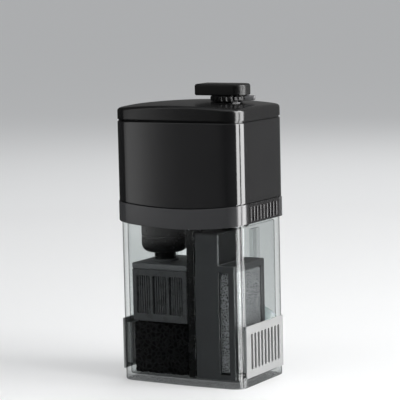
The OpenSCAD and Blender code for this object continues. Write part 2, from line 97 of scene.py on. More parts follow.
CUP_SOCKET_R = 2.25
WINDOW_D = 21
WINDOW_Z = (4.5, 17.5)
STUB_R = 3.3
STUB_BORE = 2.6
CUP_X = (UPPER_CUP_LO.x + UPPER_CUP_HI.x) / 2
UPPER_CUP_Z = (UPPER_CUP_LO.z + UPPER_CUP_HI.z) / 2
LOWER_CUP_Z = (LOWER_CUP_LO.z + LOWER_CUP_HI.z) / 2


# ---------- mesh tools ----------

def outline(w, d, r, seg=8, front=16, side=6):
    """Rounded rectangle with a bowed front, anticlockwise, always with the same number of points."""
    r = max(r, 0.25)
    corners = ((1, 1, 0), (-1, 1, 90), (-1, -1, 180), (1, -1, 270))
    points = []
    for index, (sx, sy, start) in enumerate(corners):
        cx, cy = sx * (w / 2 - r), sy * (d / 2 - r)
        for i in range(seg + 1):
            a = math.radians(start + 90 * i / seg)
            points.append(Vector((cx + r * math.cos(a), cy + r * math.sin(a))))
        nx, ny, turn = corners[(index + 1) % 4]
        a = math.radians(turn)
        end = Vector((nx * (w / 2 - r) + r * math.cos(a), ny * (d / 2 - r) + r * math.sin(a)))
        steps = front if index % 2 == 0 else side
        begin = points[-1]
        points += [begin.lerp(end, i / steps) for i in range(1, steps)]
    for p in points:
        if p.y < 0:
            p.y += p.x ** 2 / (2 * BOW_R)
    return points


def rise(x):
    """How far the collar's sweep has risen at x."""
    return SWEEP_R - math.sqrt(SWEEP_R ** 2 - x ** 2)


def soften(profile, radius, steps=4, closed=True):
    """Round each corner of a profile of (offset, z, sweep) points."""
    pts = [Vector(p) for p in profile]
    out = []
    for i, p in enumerate(pts):
        if not closed and i in (0, len(pts) - 1):
            out.append(p)
            continue
        before, after = pts[i - 1], pts[(i + 1) % len(pts)]
        a, b = before - p, after - p
        cut_a = p + a.normalized() * min(radius, a.length * 0.45)
        cut_b = p + b.normalized() * min(radius, b.length * 0.45)
        for s in range(steps + 1):
            t = s / steps
            out.append(cut_a * (1 - t) ** 2 + p * 2 * t * (1 - t) + cut_b * t ** 2)
    return out


def skin(bm, rings, close_loop=False, cap_first=False, cap_last=False):
    """Join rings of equally many points with quads."""
    rows = [[bm.verts.new(p) for p in ring] for ring in rings]
    pairs = list(zip(rows, rows[1:]))
    if close_loop:
        pairs.append((rows[-1], rows[0]))
    for low, high in pairs:
        n = len(low)
        for i in range(n):
            bm.faces.new((low[i], low[(i + 1) % n], high[(i + 1) % n], high[i]))
    if cap_first:
        bm.faces.new(list(reversed(rows[0])))
    if cap_last:
        bm.faces.new(rows[-1])
    return bm


def clean(bm):
    bmesh.ops.remove_doubles(bm, verts=bm.verts, dist=1e-4)
    bmesh.ops.recalc_face_normals(bm, faces=bm.faces)
    return bm


def ring_at(w, d, r, point):
    off, z, sweep = point
    return [(p.x, p.y, z + sweep * rise(p.x)) for p in outline(w - 2 * off, d - 2 * off, r - off)]


def wall_loop(w, d, r, profile, radius):
    """A closed profile swept round the body's outline."""
    rings = [ring_at(w, d, r, p) for p in soften(profile, radius)]
    return clean(skin(bmesh.new(), rings, close_loop=True))


def lathe(profile, seg=72, closed=False):
    """A profile of (radius, z) turned about Z. An open profile starts and ends on the axis."""
    rings = []
    for r, z in profile:
        rings.append([(r * math.cos(2 * math.pi * i / seg), r * math.sin(2 * math.pi * i / seg), z)
                      for i in range(seg)])
    return clean(skin(bmesh.new(), rings, close_loop=closed))


def soft_profile(points, radius, steps=4, closed=True):
    return [(p.x, p.y) for p in soften([(a, b, 0) for a, b in points], radius, steps, closed)]


def rounded_box(low, high, radius, steps=3):
    bm = bmesh.new()
    size = Vector(high) - Vector(low)
    mid = (Vector(high) + Vector(low)) / 2
    bmesh.ops.create_cube(bm, size=1, matrix=Matrix.Translation(mid) @ Matrix.Diagonal((*size, 1)))
    if radius:
        bmesh.ops.bevel(bm, geom=bm.edges[:], offset=radius, segments=steps, profile=0.5, affect="EDGES")
    return clean(bm)


def cylinder(radius, z0, z1, bevel=0.0, seg=64):
    profile = soft_profile([(0, z0), (radius, z0), (radius, z1), (0, z1)], bevel or 1e-3, 3, closed=False)
    return lathe(profile, seg)


def placed(bm, x=0.0, y=0.0, z=0.0, turn=None):
    matrix = Matrix.Translation((x, y, z))
    if turn is not None:
        matrix = matrix @ turn
    bmesh.ops.transform(bm, matrix=matrix, verts=bm.verts)
    return bm


ALONG_Y = Matrix.Rotation(math.radians(-90), 4, "X")


def joined(*parts):
    """Several closed shells in one mesh, left as they are."""
    whole = bmesh.new()
    for part in parts:
        mesh = bpy.data.meshes.new("joined")
        part.to_mesh(mesh)
        part.free()
        whole.from_mesh(mesh)
        bpy.data.meshes.remove(mesh)
    return whole


def temp_object(bm):
    mesh = bpy.data.meshes.new("temp")
    bm.to_mesh(mesh)
    bm.free()
    obj = bpy.data.objects.new("temp", mesh)
    bpy.context.scene.collection.objects.link(obj)
    return obj


def boolean(bm, other, operation):
    base, tool = temp_object(bm), temp_object(other)
    modifier = base.modifiers.new("boolean", "BOOLEAN")
    modifier.operation = operation
    modifier.solver = "EXACT"
    modifier.use_self = True
    modifier.object = tool
    graph = bpy.context.evaluated_depsgraph_get()
    mesh = bpy.data.meshes.new_from_object(base.evaluated_get(graph))
    result = bmesh.new()
    result.from_mesh(mesh)
    for obj in (base, tool):
        old = obj.data
        bpy.data.objects.remove(obj)
        bpy.data.meshes.remove(old)
    bpy.data.meshes.remove(mesh)
    return result


def cut(bm, *tools):
    for tool in tools:
        bm = boolean(bm, tool, "DIFFERENCE")
    return bm


def fuse(bm, *tools):
    for tool in tools:
        bm = boolean(bm, tool, "UNION")
    return bm


def add_piece(name, bm, material, body, replaces=(), bevel=0.0, sharp=32):
    """Turn a millimetre mesh into a piece that rides on a body."""
    bmesh.ops.scale(bm, vec=(MM, MM, MM), verts=bm.verts)
    mesh = bpy.data.meshes.new(name)
    bm.to_mesh(mesh)
    bm.free()
    mesh.shade_smooth()
    mesh.set_sharp_from_angle(angle=math.radians(sharp))
    mesh.materials.append(material)
    piece = bpy.data.objects.new(name, mesh)
    bpy.context.scene.collection.objects.link(piece)
    if bevel:
        edge = piece.modifiers.new("edges", "BEVEL")
        edge.width = bevel * MM
        edge.segments = 2
        edge.limit_method = "ANGLE"
        edge.angle_limit = math.radians(sharp)
        edge.harden_normals = True
    if sharp < 60:
        normals = piece.modifiers.new("normals", "WEIGHTED_NORMAL")
        normals.keep_sharp = True
    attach(piece, body)
    if replaces:
        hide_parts(*replaces)
    return piece


# ---------- materials ----------

class Tree:
    """A material's node tree, with short calls for what the materials share."""

    def __init__(self, name):
        self.material = bpy.data.materials.new(name)
        self.material.use_nodes = True
        self.nodes = self.material.node_tree.nodes
        self.links = self.material.node_tree.links
        self.shader = self.nodes["Principled BSDF"]
        self.output = self.nodes["Material Output"]
        self.coords = self.nodes.new("ShaderNodeTexCoord").outputs["Object"]

    def node(self, kind, **inputs):
        node = self.nodes.new(kind)
        for key, value in inputs.items():
            node.inputs[key.replace("_", " ")].default_value = value
        return node

    def link(self, source, target):
        self.links.new(source, target)

    def math(self, operation, first, second=0.0):
        node = self.nodes.new("ShaderNodeMath")
        node.operation = operation
        for value, socket in ((first, node.inputs[0]), (second, node.inputs[1])):
            if isinstance(value, (int, float)):
                socket.default_value = value
            else:
                self.link(value, socket)
        return node.outputs["Value"]

    def axes(self):
        split = self.nodes.new("ShaderNodeSeparateXYZ")
        self.link(self.coords, split.inputs["Vector"])
        return [split.outputs[axis] for axis in "XYZ"]

    def noise(self, scale, detail=4.0, rough=0.55):
        node = self.node("ShaderNodeTexNoise", Scale=scale, Detail=detail, Roughness=rough)
        self.link(self.coords, node.inputs["Vector"])
        return node.outputs["Fac"]

    def pores(self, scale, feature="F1"):
        node = self.node("ShaderNodeTexVoronoi", Scale=scale)
        node.feature = feature
        self.link(self.coords, node.inputs["Vector"])
        return node.outputs["Distance"]

    def ranged(self, source, low, high, from_low=0.0, from_high=1.0):
        node = self.node("ShaderNodeMapRange")
        node.inputs["From Min"].default_value = from_low
        node.inputs["From Max"].default_value = from_high
        node.inputs["To Min"].default_value = low
        node.inputs["To Max"].default_value = high
        self.link(source, node.inputs["Value"])
        return node.outputs["Result"]

    def blend(self, factor, first, second):
        node = self.nodes.new("ShaderNodeMix")
        node.data_type = "RGBA"
        node.inputs["A"].default_value = (*first, 1)
        node.inputs["B"].default_value = (*second, 1)
        self.link(factor, node.inputs["Factor"])
        return node.outputs["Result"]

    def bump(self, height, strength, distance):
        node = self.node("ShaderNodeBump", Strength=strength, Distance=distance)
        self.link(height, node.inputs["Height"])
        self.link(node.outputs["Normal"], self.shader.inputs["Normal"])

    def set(self, **inputs):
        for key, value in inputs.items():
            self.shader.inputs[key.replace("_", " ")].default_value = value


def shade(colour, factor):
    return tuple(min(1.0, c * factor) for c in colour)


def plastic(name, colour, rough, grain=0.2, mottle=0.06, shine=0.5, accent=None,
            where=None):
    """Moulded plastic: fine mould texture, slight mottling, roughness that varies over the surface.

    An accent colour fills the region that the function where picks from the object's axes."""
    t = Tree(name)
    t.set(Metallic=0.0, IOR=1.5, Specular_IOR_Level=shine)
    broad = t.noise(90, 3.0)
    fine = t.noise(2600, 2.0)
    base = t.blend(t.ranged(broad, 0, 1, 0.3, 0.7), shade(colour, 1 - mottle), shade(colour, 1 + mottle))
    if accent:
        mix = t.nodes.new("ShaderNodeMix")
        mix.data_type = "RGBA"
        mix.inputs["B"].default_value = (*accent, 1)
        t.link(where(t, *t.axes()), mix.inputs["Factor"])
        t.link(base, mix.inputs["A"])
        base = mix.outputs["Result"]
    t.link(base, t.shader.inputs["Base Color"])
    smudge = t.noise(260, 5.0, 0.65)
    t.link(t.ranged(smudge, rough * 0.88, rough * 1.14, 0.3, 0.7), t.shader.inputs["Roughness"])
    t.bump(fine, grain, 0.00003)
    return t.material


def grip_pads(t, x, y, z):
    """The two flat sides of the collar, between its rounded corners."""
    side = t.math("GREATER_THAN", t.math("ABSOLUTE", x), (BODY_W / 2 - 0.15) * MM)
    return t.math("MULTIPLY", side, t.math("LESS_THAN", t.math("ABSOLUTE", y), 10.4 * MM))


def grip_side_painted_shade(t, x, y, z):
    """Painted shade, near black, on the cassette's upper part from its tab's right side face outward, beside
    the finger well.
    """
    # painted shade: the region right of the tab grip's inner edge, above the foam, is coloured near black
    outer = t.math("GREATER_THAN", x, 12.3 * MM)
    return t.math("MULTIPLY", outer, t.math("GREATER_THAN", z, 37.4 * MM))


def lever_end(t, x, y, z):
    """The part of the dial outside its ring."""
    away_x = t.math("SUBTRACT", x, OUTLET[0] * MM)
    away_y = t.math("SUBTRACT", y, OUTLET[1] * MM)
    away = t.math("ADD", t.math("MULTIPLY", away_x, away_x), t.math("MULTIPLY", away_y, away_y))
    return t.math("GREATER_THAN", away, (5.45 * MM) ** 2)


def metal(name, colour, rough, streak=0.0):
    t = Tree(name)
    t.set(Metallic=1.0)
    broad = t.noise(700, 4.0)
    t.link(t.blend(broad, shade(colour, 0.85), shade(colour, 1.1)), t.shader.inputs["Base Color"])
    t.link(t.ranged(broad, rough - 0.06, rough + 0.08, 0.3, 0.7), t.shader.inputs["Roughness"])
    if streak:
        wave = t.node("ShaderNodeTexWave", Scale=streak, Distortion=0.0)
        wave.bands_direction = "Z"
        t.link(t.coords, wave.inputs["Vector"])
        t.bump(wave.outputs["Fac"], 0.6, 0.00008)
    else:
        t.bump(t.noise(4000, 2.0), 0.15, 0.00002)
    return t.material


def foam(name, colour, pore, shine=0.25):
    """Open-cell foam: lighter ribs of polymer, with painted shade in the pores between them; pore in
    millimetres.
    """
    t = Tree(name)
    t.set(Roughness=0.92, IOR=1.45, Specular_IOR_Level=shine)
    cells = t.pores(1000 / pore, "DISTANCE_TO_EDGE")
    ribs = t.ranged(cells, 1.0, 0.0, 0.02, 0.28)
    # pore centres are painted darker than the ribs: painted shade inside the open pores
    t.link(t.blend(ribs, shade(colour, 0.15), shade(colour, 2.0)), t.shader.inputs["Base Color"])
    t.bump(ribs, 0.9, pore * 0.0003)
    return t.material


def carbon_granules():
    t = Tree("carbon_granules")
    cells = t.pores(700, "F1")
    t.link(t.blend(cells, (0.035, 0.035, 0.037), (0.006, 0.006, 0.006)), t.shader.inputs["Base Color"])
    t.link(t.ranged(t.noise(900), 0.45, 0.8), t.shader.inputs["Roughness"])
    t.bump(cells, 0.8, 0.0003)
    return t.material


def clear_shell(t, tint, gloss_rough, inner=None, inner_share=0.0, thick=None):
    """Clear plastic wall: it reflects more, and lets less light through, the more it is seen edge-on."""
    facing = t.node("ShaderNodeLayerWeight", Blend=0.5).outputs["Facing"]
    mirror = t.ranged(t.math("POWER", facing, 5.0), 0.03, 1.0)
    gloss = t.node("ShaderNodeBsdfGlossy", Roughness=gloss_rough)
    through = t.nodes.new("ShaderNodeBsdfTransparent")
    depth = t.math("POWER", facing, 3.0)
    if thick:
        depth = t.math("MAXIMUM", depth, thick)
    t.link(t.blend(depth, tint, shade(tint, 0.12)), through.inputs["Color"])
    surface = t.nodes.new("ShaderNodeMixShader")
    body = through.outputs["BSDF"]
    if inner:
        body_mix = t.nodes.new("ShaderNodeMixShader")
        body_mix.inputs["Fac"].default_value = inner_share
        t.link(body, body_mix.inputs[1])
        t.link(inner, body_mix.inputs[2])
        body = body_mix.outputs["Shader"]
    t.link(mirror, surface.inputs["Fac"])
    t.link(body, surface.inputs[1])
    t.link(gloss.outputs["BSDF"], surface.inputs[2])
    t.link(surface.outputs["Shader"], t.output.inputs["Surface"])
    return gloss


def clear_plastic():
    """Clear moulded polystyrene, with the faint waviness of a moulded wall."""
    t = Tree("clear_plastic")
    base = t.ranged(t.axes()[2], 0.28, 0.0, 1.6 * MM, 2.2 * MM)
    gloss = clear_shell(t, (0.955, 0.97, 0.968), 0.03, thick=base)
    wave = t.node("ShaderNodeBump", Strength=0.12, Distance=0.0003)
    t.link(t.noise(70, 2.0), wave.inputs["Height"])
    t.link(wave.outputs["Normal"], gloss.inputs["Normal"])
    return t.material


def soft_pvc():
    """Translucent suction-cup rubber: part see-through, part milky."""
    t = Tree("soft_pvc")
    t.set(Base_Color=(0.66, 0.73, 0.74, 1), Roughness=0.3, IOR=1.5)
    t.shader.inputs["Subsurface Weight"].default_value = 0.3
    t.shader.inputs["Subsurface Scale"].default_value = 0.002
    t.bump(t.noise(900, 3.0), 0.15, 0.00005)
    clear_shell(t, (0.86, 0.9, 0.9), 0.22, t.shader.outputs["BSDF"], 0.28)
    return t.material


def rubber(name, colour):
    t = Tree(name)
    t.set(IOR=1.5)
    t.shader.inputs["Specular IOR Level"].default_value = 0.35
    t.link(t.blend(t.noise(300), shade(colour, 0.7), shade(colour, 1.4)), t.shader.inputs["Base Color"])
    t.link(t.ranged(t.noise(1200), 0.5, 0.75), t.shader.inputs["Roughness"])
    t.bump(t.noise(3500, 2.0), 0.3, 0.00003)
    return t.material


def ceramic():
    t = Tree("ceramic")
    t.set(Base_Color=(0.86, 0.84, 0.79, 1), Roughness=0.12, IOR=1.6)
    t.bump(t.noise(1500), 0.05, 0.00002)
    return t.material


HEAD = plastic("head_plastic", (0.012, 0.012, 0.0125), 0.1, grain=0.05)
LID = plastic("lid_plastic", (0.0065, 0.0065, 0.0067), 0.2, grain=0.1, shine=0.4)
COLLAR = plastic("collar_plastic", (0.048, 0.048, 0.05), 0.2, grain=0.1,
                 accent=(0.008, 0.008, 0.0085), where=grip_pads)
BLACK = plastic("black_plastic", (0.007, 0.007, 0.0075), 0.26, grain=0.08)
SPOUT = plastic("spout_plastic", (0.004, 0.004, 0.004), 0.34, grain=0.08, shine=0.22)
DIAL = plastic("dial_plastic", (0.005, 0.005, 0.005), 0.34, grain=0.08, shine=0.22,
               accent=(0.16, 0.16, 0.165), where=lever_end)
GREY = plastic("grey_plastic", (0.072, 0.072, 0.074), 0.28, grain=0.1, shine=0.2)
# the cassette's accent is painted shade, near black, on its tab's right side face and beside it
CASSETTE = plastic("cassette_plastic", (0.058, 0.058, 0.06), 0.2, grain=0.08, shine=0.2,
                   accent=(0.01, 0.01, 0.0105), where=grip_side_painted_shade)
LIGHT_GREY = plastic("light_grey_plastic", (0.13, 0.13, 0.134), 0.38)
GRILLE = plastic("grille_plastic", (0.33, 0.332, 0.33), 0.42, mottle=0.03, shine=0.2)
NYLON = plastic("nylon", (0.7, 0.69, 0.65), 0.42, mottle=0.05)
WIRE = plastic("wire_plastic", (0.02, 0.06, 0.3), 0.35)
COARSE = foam("coarse_foam", (0.006, 0.006, 0.0063), 1.5, shine=0.04)
FINE = foam("fine_foam", (0.2, 0.2, 0.205), 0.7)
CARBON = carbon_granules()
CLEAR = clear_plastic()
CUP = soft_pvc()
SEAL = rubber("seal_rubber", (0.01, 0.01, 0.01))
STEEL = metal("core_steel", (0.45, 0.46, 0.48), 0.38, streak=1000)
SCREW = metal("screw_steel", (0.65, 0.65, 0.66), 0.25)
COPPER = metal("copper_wire", (0.8, 0.36, 0.16), 0.28)
MAGNET = plastic("magnet_ferrite", (0.03, 0.03, 0.033), 0.45)
SHAFT = ceramic()


# ---------- canister and media ----------

def build_canister():
    inner_top = SHOULDER_Z - 1.5
    spigot = SPIGOT_STEP + SPIGOT_WALL
    profile = [
        (6, 0, 0), (0, 0, 0), (0, SHOULDER_Z, 0), (SPIGOT_STEP, SHOULDER_Z, 0),
        (SPIGOT_STEP, CAN_HI.z, 0), (spigot, CAN_HI.z, 0), (spigot, inner_top, 0),
        (CAN_WALL, inner_top, 0), (CAN_WALL, CAN_FLOOR, 0), (6, CAN_FLOOR, 0)]
    radius = 0.45
    rings = [ring_at(CAN_W, CAN_D, CORNER_R - 0.7, p) for p in soften(profile, radius, closed=False)]
    bm = clean(skin(bmesh.new(), rings, cap_first=True, cap_last=True))
    back = CAN_D / 2
    rib_y = CARTRIDGE_HI.y + 0.2
    ribs = [rounded_box((x - 0.6, rib_y, 1.2), (x + 0.6, back - 0.8, 46), 0.3) for x in (-15.5, -4, 13)]
    bosses = [placed(cylinder(BOSS_R, 0, CAN_HI.y - back + 0.6, 0.3), x, back - 0.6, LOWER_CUP_Z, ALONG_Y)
              for x in (-CUP_X, CUP_X)]
    bm = fuse(bm, *ribs, *bosses)
    pockets = [placed(cylinder(CUP_SOCKET_R, 0, 5), x, back + 0.7, LOWER_CUP_Z, ALONG_Y)
               for x in (-CUP_X, CUP_X)]
    half, (z0, z1) = WINDOW_D / 2, WINDOW_Z
    windows = [rounded_box((s * 21 - 3, -half, z0), (s * 21 + 3, half, z1), 0.0) for s in (-1, 1)]
    bm = cut(bm, *pockets, *windows)
    add_piece("clear_canister", bm, CLEAR, "canister_body", ["canister"], sharp=28)


def build_grille(side, name):
    low, high = box_mm(name)
    outer, inner = (high.x, low.x) if side > 0 else (low.x, high.x)
    plate_in = outer - side * 0.65
    x0, x1 = sorted((outer, plate_in))
    plate = rounded_box((x0, low.y, low.z), (x1, high.y, high.z), 0.3)
    gap = 0.05
    half, (z0, z1) = WINDOW_D / 2 - gap, WINDOW_Z
    x0, x1 = sorted((inner, plate_in + side * 0.4))
    plug = rounded_box((x0, -half, z0 + gap), (x1, half, z1 - gap), 0.15)
    bm = fuse(plate, plug)
    slots = 9
    pitch = (WINDOW_D - 1.4) / slots
    x0, x1 = sorted((outer, inner))
    tools = []
    for i in range(slots):
        y = (i - (slots - 1) / 2) * pitch
        tools.append(rounded_box((x0 - 2, y - 0.6, z0 + 1), (x1 + 2, y + 0.6, z1 - 1), 0.5))
    bm = cut(bm, *tools)
    add_piece(name + "_moulding", bm, GRILLE, "canister_body", [name], bevel=0.12)


def build_divider():
    lo, hi = DIVIDER_LO, DIVIDER_HI
    mid = (lo.x + hi.x) / 2
    web = rounded_box((mid - 0.6, lo.y + 0.5, lo.z), (mid + 0.6, hi.y - 0.5, hi.z), 0.15)
    front = rounded_box((lo.x, lo.y, lo.z), (hi.x, lo.y + 1.2, hi.z), 0.35)
    back = rounded_box((lo.x, hi.y - 1.2, lo.z), (hi.x, hi.y, hi.z), 0.35)
    add_piece("divider_rail", fuse(web, front, back), BLACK, "canister_body", ["divider"])


def block_grid(lo, hi, radius, step):
    """A box of small squares whose edges are rounded by radius."""
    bm = bmesh.new()
    size = hi - lo
    for axis in range(3):
        u, v = (axis + 1) % 3, (axis + 2) % 3
        nu, nv = max(2, round(size[u] / step)), max(2, round(size[v] / step))
        for end in (0, 1):
            grid = []
            for i in range(nu + 1):
                row = []
                for j in range(nv + 1):
                    p = Vector((0, 0, 0))
                    p[axis] = hi[axis] if end else lo[axis]
                    p[u] = lo[u] + size[u] * i / nu
                    p[v] = lo[v] + size[v] * j / nv
                    row.append(bm.verts.new(p))
                grid.append(row)
            for i in range(nu):
                for j in range(nv):
                    bm.faces.new((grid[i][j], grid[i + 1][j], grid[i + 1][j + 1], grid[i][j + 1]))
    clean(bm)
    core_lo = lo + Vector((radius,) * 3)
    core_hi = hi - Vector((radius,) * 3)
    for vert in bm.verts:
        core = Vector(min(max(c, a), b) for c, a, b in zip(vert.co, core_lo, core_hi))
        away = (vert.co - core).normalized()
        vert.co = core + away * radius
    return bm


def build_foam(name, node, material, body, lo, hi, pore, depth, step):
    """Foam block with real pits where its surface cells are open: pore size, pit depth, mesh step."""
    bm = block_grid(lo, hi, 0.9, step)
    bm.normal_update()
    moved = []
    for vert in bm.verts:
        near = noise.voronoi(vert.co / pore)[0]
        open_cell = max(0.0, 1 - near[0] / 0.55) ** 1.2
        wobble = noise.noise(vert.co / 6.0) * 0.12
        moved.append(vert.co - vert.normal * (depth * open_cell + 0.1 + abs(wobble)))
    for vert, co in zip(bm.verts, moved):
        vert.co = co
    piece = add_piece(name, bm, material, body, [node], sharp=180)


def build_cartridge():
    lo, hi = CARTRIDGE_LO, CARTRIDGE_HI
    wall = 1.2
    mid = (lo.x + hi.x) / 2
    case = rounded_box(lo, hi, 0.5)
    case = cut(case, rounded_box(lo + Vector((wall, wall, wall)), hi + Vector((-wall, -wall, 3)), 0.3))
    window_x = [mid + i * 5.8 for i in (-1, 0, 1)]
    windows = [rounded_box((x - 2.4, lo.y - 2, lo.z + 2.4), (x + 2.4, hi.y + 2, hi.z - 2), 0.6)
               for x in window_x]
    case = cut(case, *windows)
    slot_x = [mid + i * 2.4 for i in range(-3, 4)]
    slots = [rounded_box((x - 0.6, lo.y + 3, lo.z - 1), (x + 0.6, hi.y - 3, lo.z + 2.5), 0.3)
             for x in slot_x]
    case = cut(case, *slots)
    bars = []
    for window in window_x:
        for x in (-1.6, -0.8, 0, 0.8, 1.6):
            for y in (lo.y + 0.7, hi.y - 0.7):
                a = (window + x - 0.26, y - 0.3, lo.z + 2)
                b = (window + x + 0.26, y + 0.3, hi.z - 1.6)
                bars.append(rounded_box(a, b, 0.1, 2))
    case = joined(case, *bars)
    add_piece("cartridge_shell", case, GREY, "cartridge", ["cartridge_case"], bevel=0.1)

    lo, hi = LID_PLATE_LO, LID_PLATE_HI
    plate_top = lo.z + 1.8
    plate = rounded_box(lo, (hi.x, hi.y, plate_top), 0.45)
    ring = placed(cylinder(STUB_R + 1, plate_top - 0.6, hi.z, 0.25), *ROTOR)
    lid = cut(fuse(plate, ring), placed(cylinder(STUB_R + 0.15, lo.z - 1, hi.z + 1), *ROTOR))
    add_piece("cartridge_cap", lid, LIGHT_GREY, "cartridge", ["cartridge_lid"],
              bevel=0.15)

    lo, hi = box_mm("carbon_fill")
    bm = block_grid(lo, hi, 0.4, 0.55)
    bm.normal_update()
    moved = []
    for vert in bm.verts:
        near = noise.voronoi(vert.co / 1.7)[0]
        moved.append(vert.co - vert.normal * min(0.5, 0.6 * near[0]))
    for vert, co in zip(bm.verts, moved):
        vert.co = co
    add_piece("carbon_bed", bm, CARBON, "cartridge", ["carbon_fill"], sharp=60)


def build_cassette():
    lo, hi = CASSETTE_LO, CASSETTE_HI
    top = FINE_HI.z + 2.2
    bar = 2.2
    parts = [rounded_box((lo.x, lo.y, lo.z), (hi.x, hi.y, lo.z + 1.6), 0.3)]
    parts.append(rounded_box((lo.x, lo.y, top - bar), (hi.x, hi.y, top), 0.4))
    for x in (lo.x, hi.x - bar):
        for y in (lo.y, hi.y - bar):
            parts.append(rounded_box((x, y, lo.z + 0.3), (x + bar, y + bar, top - 0.3), 0.5))
    x0, x1, y0, y1 = lo.x, 12.4, lo.y, lo.y + 16.5
    parts.append(rounded_box((x0, y0, lo.z), (x1, y0 + 1.2, top + 0.3), 0.3))
    grip = rounded_box((x0, y0, top - 0.5), (x1, y1, hi.z), 0.7)
    grip = cut(grip, rounded_box((x0 + 1.2, y0 + 1.2, top), (x1 - 1.2, y1 - 1.2, hi.z + 3), 0.5))
    frame_mesh = fuse(parts[0], *parts[1:])
    frame_mesh = fuse(frame_mesh, grip)
    add_piece("cassette_shell", frame_mesh, CASSETTE, "cassette", ["cassette_frame"],
              bevel=0.12)


# ---------- pump head ----------

def build_head():
    zb = COLLAR_Z + COLLAR_H
    profile = [(0, zb, 1), (0, LID_SEAM, 0), (HEAD_WALL, LID_SEAM, 0), (HEAD_WALL, zb, 1)]
    bm = wall_loop(BODY_W, BODY_D, CORNER_R, profile, 0.4)
    back = BODY_D / 2
    floor = PLATE_LO.z
    bosses = [placed(cylinder(BOSS_R, 0, 2.8, 0.35), x, back - 0.8, UPPER_CUP_Z, ALONG_Y)
              for x in (-CUP_X, CUP_X)]
    screws = [(16.2, y) for y in (-9.4, 9.4)]
    posts = [placed(cylinder(2.4, floor, floor + 11, 0.2), *screw) for screw in screws]
    ribs = [rounded_box((x, y - 0.6, floor + 1.5), (20.9, y + 0.6, floor + 11), 0.0) for x, y in screws]
    bm = fuse(bm, *bosses, *posts, *ribs)
    holes = [placed(cylinder(CUP_SOCKET_R, 0, 6), x, back - 0.7, UPPER_CUP_Z, ALONG_Y)
             for x in (-CUP_X, CUP_X)]
    holes += [placed(cylinder(1.1, floor - 1, floor + 8), *screw) for screw in screws]
    gland = (GROMMET_LO.x + GROMMET_HI.x) / 2, (GROMMET_LO.z + GROMMET_HI.z) / 2
    holes.append(placed(cylinder(3, 0, 8), gland[0], 10, gland[1], ALONG_Y))
    add_piece("head_casing", cut(bm, *holes), HEAD, "pump_head", ["head_shell"])


def dome(x, y):
    return LID_HI.z - (LID_SPHERE - math.sqrt(LID_SPHERE ** 2 - x * x - y * y))


def build_lid():
    """Crowned lid with a rounded upper edge, a shadow gap below it and a locating rim inside."""
    edge = 1.3
    inner = outline(BODY_W - 2 * edge, BODY_D - 2 * edge, CORNER_R - edge)
    outer = outline(BODY_W, BODY_D, CORNER_R)
    rings = [[(p.x * s, p.y * s, dome(p.x * s, p.y * s)) for p in inner]
             for s in (0.001, 0.12, 0.25, 0.4, 0.55, 0.7, 0.82, 0.92, 1.0)]
    for step in range(1, 7):
        t = step / 6
        ring = []
        for a, b in zip(inner, outer):
            start = Vector((a.x, a.y, dome(a.x, a.y)))
            corner = Vector((b.x, b.y, dome(b.x, b.y)))
            end = Vector((b.x, b.y, dome(b.x, b.y) - edge * 0.8))
            ring.append(start * (1 - t) ** 2 + corner * 2 * t * (1 - t) + end * t ** 2)
        rings.append(ring)
    lower = [(0, LID_SEAM + 0.5, 0), (0.4, LID_SEAM + 0.5, 0), (0.4, LID_SEAM, 0), (1.65, LID_SEAM, 0),
             (1.65, LID_LO.z, 0), (2.8, LID_LO.z, 0), (2.8, LID_SEAM + 1.5, 0), (6, LID_SEAM + 1.5, 0)]
    first = [(0, LID_SEAM + 1.0, 0)]
    rings += [ring_at(BODY_W, BODY_D, CORNER_R, p) for p in soften(first + lower, 0.2, 2, closed=False)]
    bm = clean(skin(bmesh.new(), rings, cap_first=True, cap_last=True))
    bm = cut(bm, placed(cylinder(4.62, LID_LO.z - 2, LID_HI.z + 2), *OUTLET))
    add_piece("head_cover", bm, LID, "pump_head", ["head_lid"], sharp=30)


def build_collar():
    top = COLLAR_Z + COLLAR_H
    step_z = SHOULDER_Z + 0.8
    inner, foot = 1.8, 0.85
    profile = [(0, COLLAR_Z, 1), (0, top, 1), (inner, top, 1), (inner, step_z, 0), (foot, step_z, 0),
               (foot, COLLAR_Z, 1)]
    bm = wall_loop(BODY_W + 0.4, BODY_D + 0.4, CORNER_R + 0.2, profile, 0.3)
    ribs = []
    for s in (-1, 1):
        for i in range(9):
            x0, x1 = sorted((s * (BODY_W / 2 - 0.4), s * (BODY_W / 2 + 0.6)))
            y = (i - 4) * 2.1
            ribs.append(rounded_box((x0, y - 0.5, step_z - 0.4), (x1, y + 0.5, step_z + 4.2), 0.25))
    add_piece("collar_band", fuse(bm, joined(*ribs)), COLLAR, "pump_head", ["collar"])


def build_chamber_cover():
    r, wall, fillet = 7.3, 1.0, 2.6
    z0, z1 = COVER_HI.z - 4.7, COVER_HI.z
    outer = [(STUB_BORE, COVER_LO.z), (STUB_R, COVER_LO.z), (STUB_R, z0)]
    curve = [(r - fillet + fillet * math.sin(a), z0 + fillet - fillet * math.cos(a))
             for a in (math.radians(10 * i) for i in range(10))]
    rim = [(r, z1 - 1.4), (r + 0.0, z1), (r - wall, z1)]
    inner = fillet - wall
    inside = [(r - wall - inner + inner * math.cos(a), z0 + 1 + inner - inner * math.sin(a))
              for a in (math.radians(15 * i) for i in range(7))]
    profile = outer + curve + rim + inside + [(STUB_BORE, z0 + 1)]
    shell = lathe(profile, 84, closed=True)
    ribs = []
    for i in range(12):
        rib = rounded_box((6.6, -0.35, z0 + 2.2), (7.3, 0.35, z1 - 0.4), 0.15, 2)
        ribs.append(placed(rib, turn=Matrix.Rotation(i * math.pi / 6, 4, "Z")))
    arms = [placed(rounded_box((0.5, -0.4, z0 + 0.4), (3.0, 0.4, z0 + 1.3), 0.1, 2),
                   turn=Matrix.Rotation(i * 2 * math.pi / 3, 4, "Z")) for i in range(3)]
    hub = cylinder(1.9, z0 + 0.4, z0 + 1.4, 0.15)
    bm = fuse(shell, joined(*ribs), joined(*arms), hub)
    add_piece("chamber_bowl", placed(bm, *ROTOR), BLACK, "pump_head", ["chamber_cover"])


